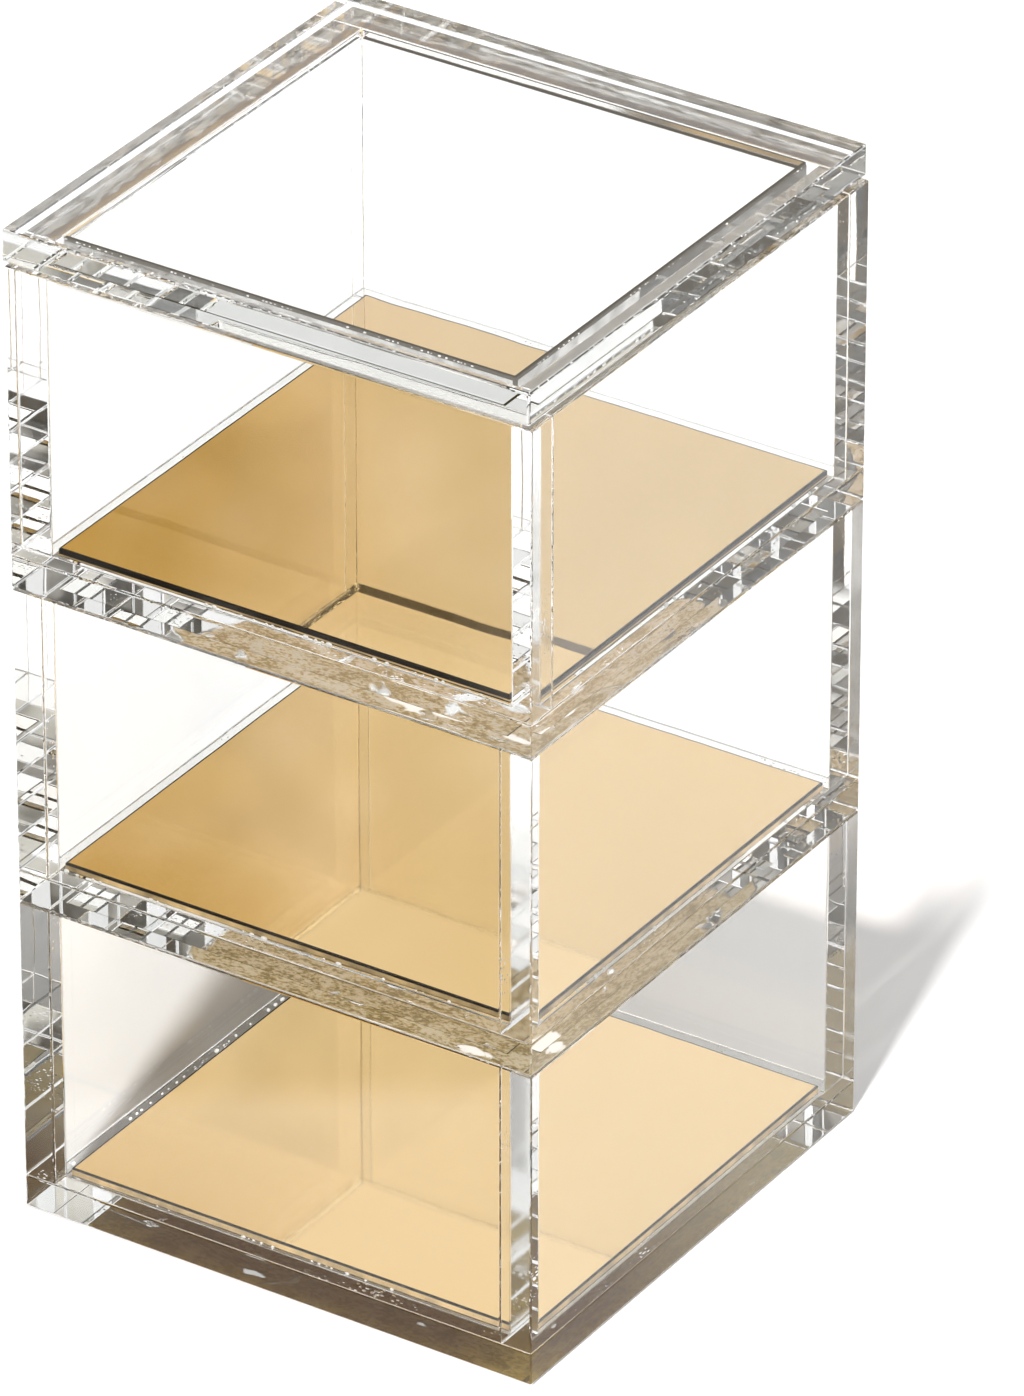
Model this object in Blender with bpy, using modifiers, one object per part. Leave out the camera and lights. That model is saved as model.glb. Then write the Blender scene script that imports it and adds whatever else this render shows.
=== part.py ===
"""Tiered organizer: three stacking clear acrylic trays with gold mirror floors, and a clear lid.

Each tray is cut from flat sheet: a full-size floor plate, four walls cemented on top of it
with butt joints at the corners, and a mirror plate laid inside. The upper trays and the lid
carry a smaller locating plate underneath, which drops inside the walls of the tray below.

Units are metres, +Z is up, and the origin is the middle of the lowest face.
"""

import bmesh
import bpy
from mathutils import Vector

# Outline of one tray
TRAY_SIDE = 0.1016
WALL_HEIGHT = 0.0537

# Sheet thicknesses
FLOOR_SHEET = 0.006
WALL_SHEET = 0.006
LID_SHEET = 0.006
MIRROR_SHEET = 0.0015
TRAY_LOCATOR_SHEET = 0.003
LID_LOCATOR_SHEET = 0.004

# Gaps: cement between bonded faces, adhesive under a mirror, air under a resting tray or lid
CEMENT_FILM = 0.00005
MIRROR_BED = 0.00005
REST_GAP = 0.0003

# Side clearances inside the walls
MIRROR_MARGIN = 0.00075
LOCATOR_CLEARANCE = 0.001

# The lid sits off centre by this share of its locating clearance, to the left and to the rear
LID_PLAY_SHARE = (-0.8, 0.45)

# Flame-polished edges have a small round
EDGE_ROUND = 0.0002
EDGE_STEPS = 2

# Sizes that follow
TRAY_PITCH = FLOOR_SHEET + CEMENT_FILM + WALL_HEIGHT + REST_GAP
INNER_SIDE = TRAY_SIDE - 2 * WALL_SHEET
FITTED_WALL = INNER_SIDE - 2 * CEMENT_FILM
MIRROR_SIDE = INNER_SIDE - 2 * MIRROR_MARGIN
LOCATOR_SIDE = INNER_SIDE - 2 * LOCATOR_CLEARANCE
WALL_OFFSET = (TRAY_SIDE - WALL_SHEET) / 2

COLLECTION = "tiered_organizer"

# Tray name, the pair of walls that runs the full width, and whether it stacks on another tray
TRAYS = (
    ("bottom", "left_right", False),
    ("middle", "left_right", True),
    ("top", "front_rear", True),
)

# Colour, roughness, metallic and transmission of each finish
FINISHES = {
    "clear_acrylic": ((0.97, 0.98, 0.97), 0.03, 0.0, 1.0),
    "gold_mirror": ((0.87, 0.66, 0.37), 0.06, 1.0, 0.0),
}


def clear_scene():
    for old in list(bpy.data.objects):
        bpy.data.objects.remove(old, do_unlink=True)


def new_collection(name):
    group = bpy.data.collections.new(name)
    bpy.context.scene.collection.children.link(group)
    return group


def finish_for(piece_name, finish):
    """A Principled material of the piece's own, with the colour and gloss of its finish."""
    colour, roughness, metallic, transmission = FINISHES[finish]
    material = bpy.data.materials.new(piece_name + "_" + finish)
    material.use_nodes = True
    shader = material.node_tree.nodes["Principled BSDF"]
    shader.inputs["Base Color"].default_value = (*colour, 1.0)
    shader.inputs["Roughness"].default_value = roughness
    shader.inputs["Metallic"].default_value = metallic
    shader.inputs["Transmission Weight"].default_value = transmission
    material.diffuse_color = (*colour, 1.0)
    return material


def body_frame(group, name, location):
    """An empty on the line that a tray or the lid lifts along, which carries its pieces."""
    frame = bpy.data.objects.new(name, None)
    frame.location = location
    group.objects.link(frame)
    return frame


def plate(group, frame, name, size, centre, finish):
    """A flat piece cut from sheet, with its edges polished to a small round."""
    mesh = bpy.data.meshes.new(name)
    shape = bmesh.new()
    bmesh.ops.create_cube(shape, size=1.0)
    bmesh.ops.scale(shape, vec=Vector(size), verts=shape.verts)
    shape.to_mesh(mesh)
    shape.free()
    piece = bpy.data.objects.new(name, mesh)
    piece.parent = frame
    piece.location = centre
    mesh.materials.append(finish_for(name, finish))
    edges = piece.modifiers.new("polished_edges", "BEVEL")
    edges.limit_method = "NONE"
    edges.width = EDGE_ROUND
    edges.segments = EDGE_STEPS
    group.objects.link(piece)
    return piece


def add_walls(group, frame, tray, full_pair):
    """Four walls on top of the floor plate: one pair runs the full width, the other fits between."""
    height = FLOOR_SHEET + CEMENT_FILM + WALL_HEIGHT / 2
    along_x = TRAY_SIDE if full_pair == "front_rear" else FITTED_WALL
    along_y = TRAY_SIDE if full_pair == "left_right" else FITTED_WALL
    for side, sign in (("front", -1), ("rear", 1)):
        size = (along_x, WALL_SHEET, WALL_HEIGHT)
        centre = (0.0, sign * WALL_OFFSET, height)
        plate(group, frame, tray + "_" + side + "_wall", size, centre, "clear_acrylic")
    for side, sign in (("left", -1), ("right", 1)):
        size = (WALL_SHEET, along_y, WALL_HEIGHT)
        centre = (sign * WALL_OFFSET, 0.0, height)
        plate(group, frame, tray + "_" + side + "_wall", size, centre, "clear_acrylic")


def add_locator(group, frame, name, thickness):
    """The smaller plate cemented under a tray or the lid, which drops inside the walls below."""
    size = (LOCATOR_SIDE, LOCATOR_SIDE, thickness)
    centre = (0.0, 0.0, -CEMENT_FILM - thickness / 2)
    plate(group, frame, name, size, centre, "clear_acrylic")


def add_tray(group, tray, full_pair, stacks, base_height):
    frame = body_frame(group, tray + "_tray", (0.0, 0.0, base_height))
    floor_size = (TRAY_SIDE, TRAY_SIDE, FLOOR_SHEET)
    floor_centre = (0.0, 0.0, FLOOR_SHEET / 2)
    plate(group, frame, tray + "_floor_plate", floor_size, floor_centre, "clear_acrylic")
    add_walls(group, frame, tray, full_pair)
    mirror_size = (MIRROR_SIDE, MIRROR_SIDE, MIRROR_SHEET)
    mirror_centre = (0.0, 0.0, FLOOR_SHEET + MIRROR_BED + MIRROR_SHEET / 2)
    plate(group, frame, tray + "_mirror_plate", mirror_size, mirror_centre, "gold_mirror")
    if stacks:
        add_locator(group, frame, tray + "_locating_plate", TRAY_LOCATOR_SHEET)


def add_lid(group, base_height):
    shift_x, shift_y = (share * LOCATOR_CLEARANCE for share in LID_PLAY_SHARE)
    frame = body_frame(group, "lid", (shift_x, shift_y, base_height))
    lid_size = (TRAY_SIDE, TRAY_SIDE, LID_SHEET)
    lid_centre = (0.0, 0.0, LID_SHEET / 2)
    plate(group, frame, "lid_plate", lid_size, lid_centre, "clear_acrylic")
    add_locator(group, frame, "lid_locating_plate", LID_LOCATOR_SHEET)


def main():
    clear_scene()
    group = new_collection(COLLECTION)
    base_height = 0.0
    for tray, full_pair, stacks in TRAYS:
        add_tray(group, tray, full_pair, stacks, base_height)
        base_height += TRAY_PITCH
    add_lid(group, base_height)
    bpy.context.view_layer.update()
    print("organizer height", round(base_height + LID_SHEET, 5), "m")


main()
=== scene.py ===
# %% [markdown]
# # A tiered organizer in clear acrylic
# Three square trays stand on each other, each cut from thick clear acrylic sheet, each with a gold
# mirror plate on its floor. A clear lid closes the top one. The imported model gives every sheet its
# place and its size, and this script gives each sheet its edges, its cemented joints and its finish.

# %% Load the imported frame
import math

import bmesh
import bpy
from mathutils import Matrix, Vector


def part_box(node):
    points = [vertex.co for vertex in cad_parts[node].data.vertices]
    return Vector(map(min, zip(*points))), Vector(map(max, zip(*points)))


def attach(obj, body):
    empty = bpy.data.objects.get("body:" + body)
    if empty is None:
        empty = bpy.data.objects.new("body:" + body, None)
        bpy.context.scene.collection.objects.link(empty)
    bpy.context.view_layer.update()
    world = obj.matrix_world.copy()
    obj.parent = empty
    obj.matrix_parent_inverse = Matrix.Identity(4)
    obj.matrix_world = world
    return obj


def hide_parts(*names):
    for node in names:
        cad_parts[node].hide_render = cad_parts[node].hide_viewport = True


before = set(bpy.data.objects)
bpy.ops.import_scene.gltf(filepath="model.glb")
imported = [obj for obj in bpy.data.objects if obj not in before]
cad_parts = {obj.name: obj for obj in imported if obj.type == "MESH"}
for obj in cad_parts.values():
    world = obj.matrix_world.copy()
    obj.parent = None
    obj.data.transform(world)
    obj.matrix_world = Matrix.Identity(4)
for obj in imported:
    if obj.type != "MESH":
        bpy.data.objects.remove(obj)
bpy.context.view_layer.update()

# %% [markdown]
# The camera stands about two metres away with a long lens, a little to the right of the front and
# thirty degrees up. Such a lens keeps the upright edges of the walls nearly parallel.

# %% Place the camera
CAMERA_TARGET = Vector((0.0, 0.0, 0.09144))
CAMERA_DISTANCE = 2.0227
CAMERA_AZIMUTH, CAMERA_ELEVATION = 33.40, 30.20
CAMERA_TURN, CAMERA_TIP = -0.387, 0.027
CAMERA_LENS = 313.8


def toward(azimuth, elevation):
    """A direction from the object: azimuth 0 is straight in front of it, and 90 is to its right."""
    turn, rise = math.radians(azimuth), math.radians(elevation)
    return Vector((math.sin(turn) * math.cos(rise), -math.cos(turn) * math.cos(rise), math.sin(rise)))


camera = bpy.data.objects.new("camera", bpy.data.cameras.new("camera"))
camera.data.lens = CAMERA_LENS
camera.location = CAMERA_TARGET + CAMERA_DISTANCE * toward(CAMERA_AZIMUTH, CAMERA_ELEVATION)
sight = toward(CAMERA_AZIMUTH + CAMERA_TURN, CAMERA_ELEVATION + CAMERA_TIP)
camera.rotation_euler = sight.to_track_quat("Z", "Y").to_euler()
camera.data.clip_start, camera.data.clip_end = 0.1, 50.0
bpy.context.scene.collection.objects.link(camera)
bpy.context.scene.camera = camera
print("camera at", [round(v, 3) for v in camera.location])

# %% [markdown]
# Light meets a dozen clear faces on its way through the stack, so it gets more bounces than
# Blender's own setting. Too few of them would leave black patches in the thick edges.

# %% Let light pass through many clear faces
scene = bpy.context.scene
scene.view_settings.view_transform = "Standard"
scene.cycles.max_bounces = 32
scene.cycles.transmission_bounces = 32
scene.cycles.glossy_bounces = 24
scene.cycles.transparent_max_bounces = 96
scene.cycles.caustics_reflective = False
scene.cycles.caustics_refractive = False
print("bounces:", scene.cycles.max_bounces)

# %% [markdown]
# Materials are built from nodes in the script. One short helper adds a node and fills in its inputs,
# and the rest build on it. The contrast of a pattern is set by a gain and an offset, which one
# MULTIPLY_ADD node applies.


# %% Helpers for node trees
def add_node(tree, kind, **values):
    """Adds a node. A value sets the node's own setting of that name, or else it fills that input."""
    node = tree.nodes.new(kind)
    for name, value in values.items():
        if hasattr(node, name):
            setattr(node, name, value)
        elif isinstance(value, bpy.types.NodeSocket):
            tree.links.new(value, node.inputs[name.replace("_", " ")])
        else:
            node.inputs[name.replace("_", " ")].default_value = value
    return node


def maths(tree, operation, *terms, clamp=False):
    """A Math node's result; each term is a number or another node's output."""
    node = tree.nodes.new("ShaderNodeMath")
    node.operation, node.use_clamp = operation, clamp
    for socket, term in zip(node.inputs, terms):
        if isinstance(term, (int, float)):
            socket.default_value = term
        else:
            tree.links.new(term, socket)
    return node.outputs[0]


def object_place(tree):
    """The Object coordinates, which stay with a piece when it moves."""
    return tree.nodes.new("ShaderNodeTexCoord").outputs["Object"]


def split(tree, vector):
    """The X, Y and Z outputs of a vector."""
    return add_node(tree, "ShaderNodeSeparateXYZ", Vector=vector).outputs


def noise(tree, vector, **values):
    """A Noise Texture's value at a vector."""
    return add_node(tree, "ShaderNodeTexNoise", Vector=vector, **values).outputs[0]


# %% [markdown]
# A node group is a small tree with named inputs and outputs, which several materials can use. Every
# material starts from an empty tree with an output node.


# %% Node groups and materials
def new_group(name, inputs, outputs):
    """A shader node group; inputs is a list of (name, default) and outputs a list of names."""
    tree = bpy.data.node_groups.new(name, "ShaderNodeTree")
    for label, default in inputs:
        socket = tree.interface.new_socket(label, in_out="INPUT", socket_type="NodeSocketFloat")
        socket.default_value = default
    for label in outputs:
        tree.interface.new_socket(label, in_out="OUTPUT", socket_type="NodeSocketFloat")
    return tree, tree.nodes.new("NodeGroupInput").outputs, tree.nodes.new("NodeGroupOutput").inputs


def use_group(tree, group, **values):
    """The outputs of a node group's use in a tree."""
    node = tree.nodes.new("ShaderNodeGroup")
    node.node_tree = group
    for name, value in values.items():
        node.inputs[name.replace("_", " ")].default_value = value
    return node.outputs


def new_material(name):
    """A material with an empty node tree and its output node."""
    material = bpy.data.materials.new(name)
    material.use_nodes = True
    tree = material.node_tree
    tree.nodes.clear()
    return material, tree, tree.nodes.new("ShaderNodeOutputMaterial")


# %% [markdown]
# Polished sheet is never quite flat. Its surface rolls by a few micrometres over a centimetre or
# two, which bends what is seen through it, and a faint haze comes and goes. One group makes both.

# %% The gentle roll of polished sheet
polish, given, results = new_group(
    "polished_sheet", [("Size", 60.0), ("Haze", 0.01), ("Seed", 0.0)], ["Height", "Roughness"]
)
place = object_place(polish)
wave = {"noise_dimensions": "4D", "W": given["Seed"]}
roll = noise(polish, place, Scale=given["Size"], Detail=1.0, Roughness=0.4, **wave)
patchy = noise(polish, place, Scale=35.0, Detail=3.0, **wave)
polish.links.new(roll, results["Height"])
polish.links.new(maths(polish, "MULTIPLY", patchy, given["Haze"]), results["Roughness"])
print("group:", polish.name)

# %% [markdown]
# Solvent cement melts two faces into one, and light then passes the joint as if it weren't there.
# Small bubbles stay where the solvent dried too early. The group gives 1 in a bubble and 0 elsewhere.

# %% Bubbles in a cemented joint
CROWDING = (1.6, -0.95)
CROWDED_REACH = 1.2

bubbles, given, results = new_group(
    "joint_bubbles", [("Size", 900.0), ("Share", 0.1), ("Patches", 55.0)], ["Mask"]
)
place = object_place(bubbles)
cells = add_node(bubbles, "ShaderNodeTexVoronoi", feature="F1", Vector=place, Scale=given["Size"])
crowding = noise(bubbles, place, Scale=given["Patches"], Detail=2.0)
crowding = maths(bubbles, "MULTIPLY_ADD", crowding, *CROWDING)
limit = maths(bubbles, "MULTIPLY_ADD", crowding, CROWDED_REACH, given["Share"])
bubbles.links.new(maths(bubbles, "LESS_THAN", cells.outputs["Distance"], limit), results["Mask"])
print("group:", bubbles.name)

# %% [markdown]
# A clear adhesive holds each mirror plate. Where it wets both sheets, the painted back of the mirror
# shows through the thick edge of the tray as khaki, and where air is left, the edge stays bright.

# %% Adhesive under a mirror plate
RAGGED_SPREAD, RAGGED_POCKET = 0.008, 0.006
POCKET_OVAL = 2.4
SPREAD_SLOPE = 60.0
WET_CONTRAST, RIM_CONTRAST = (22.0, 0.5), (25.0, 1.0)


def oval_distance(tree, axes, x, y, stretch_y):
    """How far a point lies from (x, y); stretch_y above 1 makes the rings flat ovals."""
    off_x = maths(tree, "SUBTRACT", axes["X"], x)
    off_y = maths(tree, "MULTIPLY", maths(tree, "SUBTRACT", axes["Y"], y), stretch_y)
    squares = maths(tree, "MULTIPLY_ADD", off_x, off_x, maths(tree, "MULTIPLY", off_y, off_y))
    return maths(tree, "SQRT", squares)


adhesive, given, results = new_group(
    "mirror_adhesive",
    [
        ("Centre X", 0.012),
        ("Centre Y", -0.01),
        ("Reach", 0.045),
        ("Blotch Size", 75.0),
        ("Air Share", 0.42),
        ("Pocket X", 0.02),
        ("Pocket Y", -0.026),
        ("Pocket Reach", 0.006),
    ],
    ["Wet", "Rim"],
)
place = object_place(adhesive)
axes = split(adhesive, place)
from_centre = oval_distance(adhesive, axes, given["Centre X"], given["Centre Y"], 1.0)
from_pocket = oval_distance(adhesive, axes, given["Pocket X"], given["Pocket Y"], POCKET_OVAL)
ragged = noise(adhesive, place, Scale=95.0, Detail=3.0)
from_centre = maths(adhesive, "MULTIPLY_ADD", ragged, RAGGED_SPREAD, from_centre)
from_pocket = maths(adhesive, "MULTIPLY_ADD", ragged, RAGGED_POCKET, from_pocket)
inside = maths(adhesive, "SUBTRACT", given["Reach"], from_centre)
outside_pocket = maths(adhesive, "SUBTRACT", from_pocket, given["Pocket Reach"])
spread = maths(adhesive, "MINIMUM", inside, outside_pocket)
spread = maths(adhesive, "MULTIPLY", spread, SPREAD_SLOPE)
blotch = noise(
    adhesive, place, Scale=given["Blotch Size"], Detail=2.5, Roughness=0.5, Distortion=0.8
)
covered = maths(adhesive, "SUBTRACT", blotch, given["Air Share"])
level = maths(adhesive, "MINIMUM", spread, covered)
for label, contrast in (("Wet", WET_CONTRAST), ("Rim", RIM_CONTRAST)):
    strength = maths(adhesive, "MULTIPLY_ADD", level, *contrast, clamp=True)
    adhesive.links.new(strength, results[label])
print("group:", adhesive.name)

# %% [markdown]
# Clear acrylic is a transmission material with the index of the real plastic. Lamps and scattered
# light pass it straight, which spares the render thousands of stray bright dots.

# %% Clear acrylic
ACRYLIC_INDEX = 1.49
ACRYLIC_TINT = (0.996, 0.999, 0.996, 1.0)
# A dark glow: the painted shade on sawn sides and on the lid's seam
PAINTED_SHADE_COLOUR = (0.05, 0.035, 0.01, 1.0)
ROLL_DEPTH = 0.00002
RIM_DEPTH = 0.00003
SHADOW_FROM = 0.62
SHADOW_FULL = 0.86
SHADOW_TINT = (0.985, 0.976, 0.969)


def mix_shaders(tree, factor, first, second):
    """A mix of two shaders: the first at a factor of 0 and the second at 1."""
    mix = tree.nodes.new("ShaderNodeMixShader")
    for socket, value in zip(mix.inputs, (factor, first, second)):
        tree.links.new(value, socket)
    return mix.outputs[0]


def straight_through(tree):
    """A transparent shader for lamps, darker where light grazes the sheet and is mirrored away."""
    facing = add_node(tree, "ShaderNodeLayerWeight", Blend=0.5).outputs["Facing"]
    slope = 1.0 / (SHADOW_FULL - SHADOW_FROM)
    passed = maths(tree, "MULTIPLY_ADD", facing, -slope, SHADOW_FULL * slope, clamp=True)
    red, green, blue = (maths(tree, "MULTIPLY", passed, share) for share in SHADOW_TINT)
    warm = add_node(tree, "ShaderNodeCombineColor", Red=red, Green=green, Blue=blue)
    return add_node(tree, "ShaderNodeBsdfTransparent", Color=warm.outputs[0]).outputs[0]


def bump(tree, height, depth, **values):
    """A Bump node's normal."""
    node = add_node(tree, "ShaderNodeBump", Height=height, Distance=depth, Strength=1.0, **values)
    return node.outputs[0]


def acrylic(
    name,
    seed,
    tint=ACRYLIC_TINT,
    haze=0.01,
    clearness=1.0,
    bond=None,
    paint=None,
    shade=None,
    underside=False,
):
    """A clear material. Bond gives where a face is loose from its neighbour, and the rim's height.

    Paint gives a pattern in place of the tint; shade says where a sawn side or seam gets painted shade.
    A tray's underside gets a painted white glow in the gold mirrors below, for light off a bright floor.
    """
    material, tree, out = new_material(name)
    sheet = use_group(tree, polish, Seed=seed, Haze=haze)
    shader = add_node(
        tree,
        "ShaderNodeBsdfPrincipled",
        Base_Color=tint if paint is None else paint(tree),
        IOR=ACRYLIC_INDEX,
        Transmission_Weight=clearness,
        Roughness=sheet["Roughness"],
    )
    normal = bump(tree, sheet["Height"], ROLL_DEPTH)
    if bond is not None:
        loose, height = bond(tree)
        tree.links.new(loose, shader.inputs["Alpha"])
        if height is not None:
            normal = bump(tree, height, RIM_DEPTH, Normal=normal)
    tree.links.new(normal, shader.inputs["Normal"])
    rays = tree.nodes.new("ShaderNodeLightPath").outputs
    surface = shader.outputs[0]
    # Painted glow: rays reflected up from the gold mirrors see the underside as plain white light
    if underside:
        behind = tree.nodes.new("ShaderNodeNewGeometry").outputs["Backfacing"]
        below = maths(tree, "SUBTRACT", 1.0, behind)
        seen_in_mirror = maths(tree, "MULTIPLY", below, rays["Is Reflection Ray"])
        glow = add_node(tree, "ShaderNodeEmission", Strength=1.0)
        surface = mix_shaders(tree, seen_in_mirror, surface, glow.outputs[0])
    # Painted shade: a dark glow takes over the surface where shade gives 1
    if shade is not None:
        dark = add_node(tree, "ShaderNodeEmission", Color=PAINTED_SHADE_COLOUR)
        surface = mix_shaders(tree, shade(tree, rays), surface, dark.outputs[0])
    lamps = maths(tree, "MAXIMUM", rays["Is Shadow Ray"], rays["Is Diffuse Ray"])
    surface = mix_shaders(tree, lamps, surface, straight_through(tree))
    tree.links.new(surface, out.inputs["Surface"])
    return material


print("index of acrylic:", ACRYLIC_INDEX)

# %% [markdown]
# A joint is transparent where the cement took and an acrylic face of its own where it didn't. Each of
# these functions gives an acrylic material the two things it asks of a bond.


# %% Cemented joints and mirror beds
def voids(share):
    """Bubbles left in a cemented joint; a higher share leaves more."""
    return lambda tree: (use_group(tree, bubbles, Share=share)["Mask"], None)


def dry_bed(centre, reach, share, pocket, pocket_reach):
    """Where a mirror's adhesive leaves air on the floor plate, and how high its rim stands."""
    spread = {"Centre_X": centre[0], "Centre_Y": centre[1], "Reach": reach, "Air_Share": share}
    gap = {"Pocket_X": pocket[0], "Pocket_Y": pocket[1], "Pocket_Reach": pocket_reach}

    def output(tree):
        bed = use_group(tree, adhesive, **spread, **gap)
        specks = use_group(tree, bubbles, Size=1100.0, Share=0.05, Patches=70.0)
        dry = maths(tree, "SUBTRACT", 1.0, bed["Wet"])
        return maths(tree, "MAXIMUM", dry, specks["Mask"]), bed["Rim"]

    return output


print("bonds: voids and dry_bed")

# %% [markdown]
# The sides of the lid's locating plate are sawn, not polished, and get a painted shade where light
# meets them at a slant. A ray counts its own turns, so a material can tell whether it is seen straight
# or not.

# %% Sawn sides and seams with painted shade
# A ray's depths are whole numbers, so each limit lies halfway between two of them
TURNED_ONCE, TURNED_TWICE = 0.5, 1.5
IN_A_MIRROR = 2.5
SLANT_FROM = 0.3
SIDE_MARKS = (3.2, -0.6)


def sawn(outside, inside):
    """Shares of painted shade seen from outside, and from inside by light that turned in the sheet."""

    def share(tree, rays):
        behind = tree.nodes.new("ShaderNodeNewGeometry").outputs["Backfacing"]
        facing = add_node(tree, "ShaderNodeLayerWeight", Blend=0.5).outputs["Facing"]
        slant = maths(tree, "GREATER_THAN", facing, SLANT_FROM)
        turned = maths(tree, "GREATER_THAN", rays["Glossy Depth"], TURNED_ONCE)
        seen_outside = maths(tree, "MULTIPLY_ADD", behind, -outside, outside)
        seen_inside = maths(tree, "MULTIPLY", maths(tree, "MULTIPLY", slant, turned), behind)
        total = maths(tree, "MULTIPLY_ADD", seen_inside, inside, seen_outside)
        marks = noise(tree, object_place(tree), Scale=330.0, Detail=3.0)
        uneven = maths(tree, "MULTIPLY_ADD", marks, *SIDE_MARKS)
        return maths(tree, "MULTIPLY", total, uneven, clamp=True)

    return share


def first_sight(tree, rays):
    """1 where the painted dark seam shows: seen directly or in a gold mirror; 0 once light turned in the
    lid.
    """
    straight = maths(tree, "LESS_THAN", rays["Glossy Depth"], TURNED_ONCE)
    mirrored = maths(tree, "GREATER_THAN", rays["Transmission Depth"], IN_A_MIRROR)
    return maths(tree, "MAXIMUM", straight, mirrored)


print("shades: sawn and first_sight")

# %% [markdown]
# The rims of the walls are sawn too. Noise that is stretched along the rim makes the saw marks, and
# a painted reflection of the gold mirror runs near the inner side, its border roughened by more noise.

# %% Sawn rims with a painted gold reflection
WALL = 0.006
SAW_WAVES = (1300.0, 240.0)
SAW_CONTRAST = (7.0, -2.7)
SAWN_DARK, SAWN_LIGHT = (0.13, 0.10, 0.06), (0.99, 0.98, 0.95)
PAINTED_GOLD_ON_RIM = (0.09, 0.03, 0.001)
GOLD_FROM = 0.36
GOLD_RAGGED = (0.6, -0.3)
GOLD_SLOPE = 9.0


def mix_colours(tree, factor, first, second):
    """A mix of two colours; each is a plain colour or another node's output."""
    mix = add_node(tree, "ShaderNodeMix", data_type="RGBA")
    tree.links.new(factor, mix.inputs[0])
    for socket, colour in zip((mix.inputs[6], mix.inputs[7]), (first, second)):
        if isinstance(colour, tuple):
            socket.default_value = (*colour, 1.0)
        else:
            tree.links.new(colour, socket)
    return mix.outputs[2]


def rim_with_painted_gold(tree):
    """Saw marks along the top of a wall, and a ragged painted gold reflection near its inner side."""
    place = object_place(tree)
    axes = split(tree, place)
    off_x, off_y = (maths(tree, "ABSOLUTE", axes[axis]) for axis in "XY")
    reach = maths(tree, "MAXIMUM", off_x, off_y)
    along = maths(tree, "MINIMUM", off_x, off_y)
    across_waves, along_waves = (
        maths(tree, "MULTIPLY", value, waves) for value, waves in zip((reach, along), SAW_WAVES)
    )
    stretched = add_node(tree, "ShaderNodeCombineXYZ", X=across_waves, Y=along_waves)
    lines = noise(tree, stretched.outputs[0], Scale=1.0, Detail=3.0)
    streaks = maths(tree, "MULTIPLY_ADD", lines, *SAW_CONTRAST, clamp=True)
    sawn_top = mix_colours(tree, streaks, SAWN_DARK, SAWN_LIGHT)
    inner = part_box("top_floor_plate")[1].x - WALL
    zone = maths(tree, "MULTIPLY_ADD", reach, -1.0 / WALL, inner / WALL + GOLD_FROM)
    marks = noise(tree, place, Scale=260.0, Detail=3.0)
    zone = maths(tree, "ADD", zone, maths(tree, "MULTIPLY_ADD", marks, *GOLD_RAGGED))
    return mix_colours(tree, maths(tree, "MULTIPLY", zone, GOLD_SLOPE, clamp=True), sawn_top, PAINTED_GOLD_ON_RIM)


print("rims:", SAW_WAVES, "waves a metre")

# %% [markdown]
# One function now makes every clear finish. Edges are a little darker than faces, wall tops are dull,
# and the bed under each mirror has its own patch of adhesive.

# %% All clear finishes
WALL_END_TINT = (0.90, 0.91, 0.90, 1.0)
LOCATOR_SIDE_TINT = (0.80, 0.78, 0.73, 1.0)

clear = acrylic("clear_acrylic", 0.0)
cemented = acrylic("cemented_face", 3.0, bond=voids(0.1))
well_cemented = acrylic("well_cemented_face", 3.5, bond=voids(-0.15))
cured_cement = acrylic("cured_cement", 8.0, (0.95, 0.95, 0.92, 1.0), haze=0.3, clearness=0.35)
plate_edge = acrylic("polished_edge", 9.0, (0.78, 0.79, 0.77, 1.0))
wall_end = acrylic("wall_end", 10.0, WALL_END_TINT)
cloudy_end = acrylic("cloudy_wall_end", 14.0, WALL_END_TINT, haze=0.28)
wall_top = acrylic("wall_top", 11.0, (0.50, 0.46, 0.38, 1.0), haze=0.2)
# The top tray's rear and left rims carry a painted reflection of the gold mirror
golden_top = acrylic("golden_wall_top", 16.0, haze=0.2, paint=rim_with_painted_gold)
# The lid's locating plate gets painted shade on its sides and seam, most on its rear side
locator_side = acrylic("locator_side", 13.0, LOCATOR_SIDE_TINT, haze=0.1, shade=sawn(0.4, 0.3))
locator_rear = acrylic("locator_rear_side", 15.0, LOCATOR_SIDE_TINT, haze=0.1, shade=sawn(0.55, 0.9))
lid_seam = acrylic("lid_seam", 17.0, haze=0.1, shade=first_sight)
seam_line = acrylic("dark_seam_line", 12.0, (0.05, 0.04, 0.025, 1.0), haze=0.4, clearness=0.15)
# Undersides that the gold mirrors below reflect, with a painted white glow
glowing_underside = acrylic("tray_underside", 4.0, underside=True)

# Seed, then centre, reach and share of air of the adhesive, then centre and reach of its air pocket
BEDS = {
    "bottom": (5.0, (0.0, 0.0), 0.075, 0.33, (-0.02, -0.03), 0.003),
    "middle": (6.0, (0.014, -0.010), 0.046, 0.34, (0.020, -0.030), 0.003),
    "top": (7.0, (0.010, -0.014), 0.042, 0.35, (0.030, -0.032), 0.004),
}
beds = {
    tray: acrylic(tray + "_mirror_bed", seed, bond=dry_bed(*bed)) for tray, (seed, *bed) in BEDS.items()
}
print("mirror beds:", ", ".join(beds))

# %% [markdown]
# The gold plates are mirrored acrylic: a metal film under a thin clear sheet. A metal with a smooth
# clear coat gives the same two reflections.

# %% Gold mirror
GOLD = (0.86, 0.575, 0.21)


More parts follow.
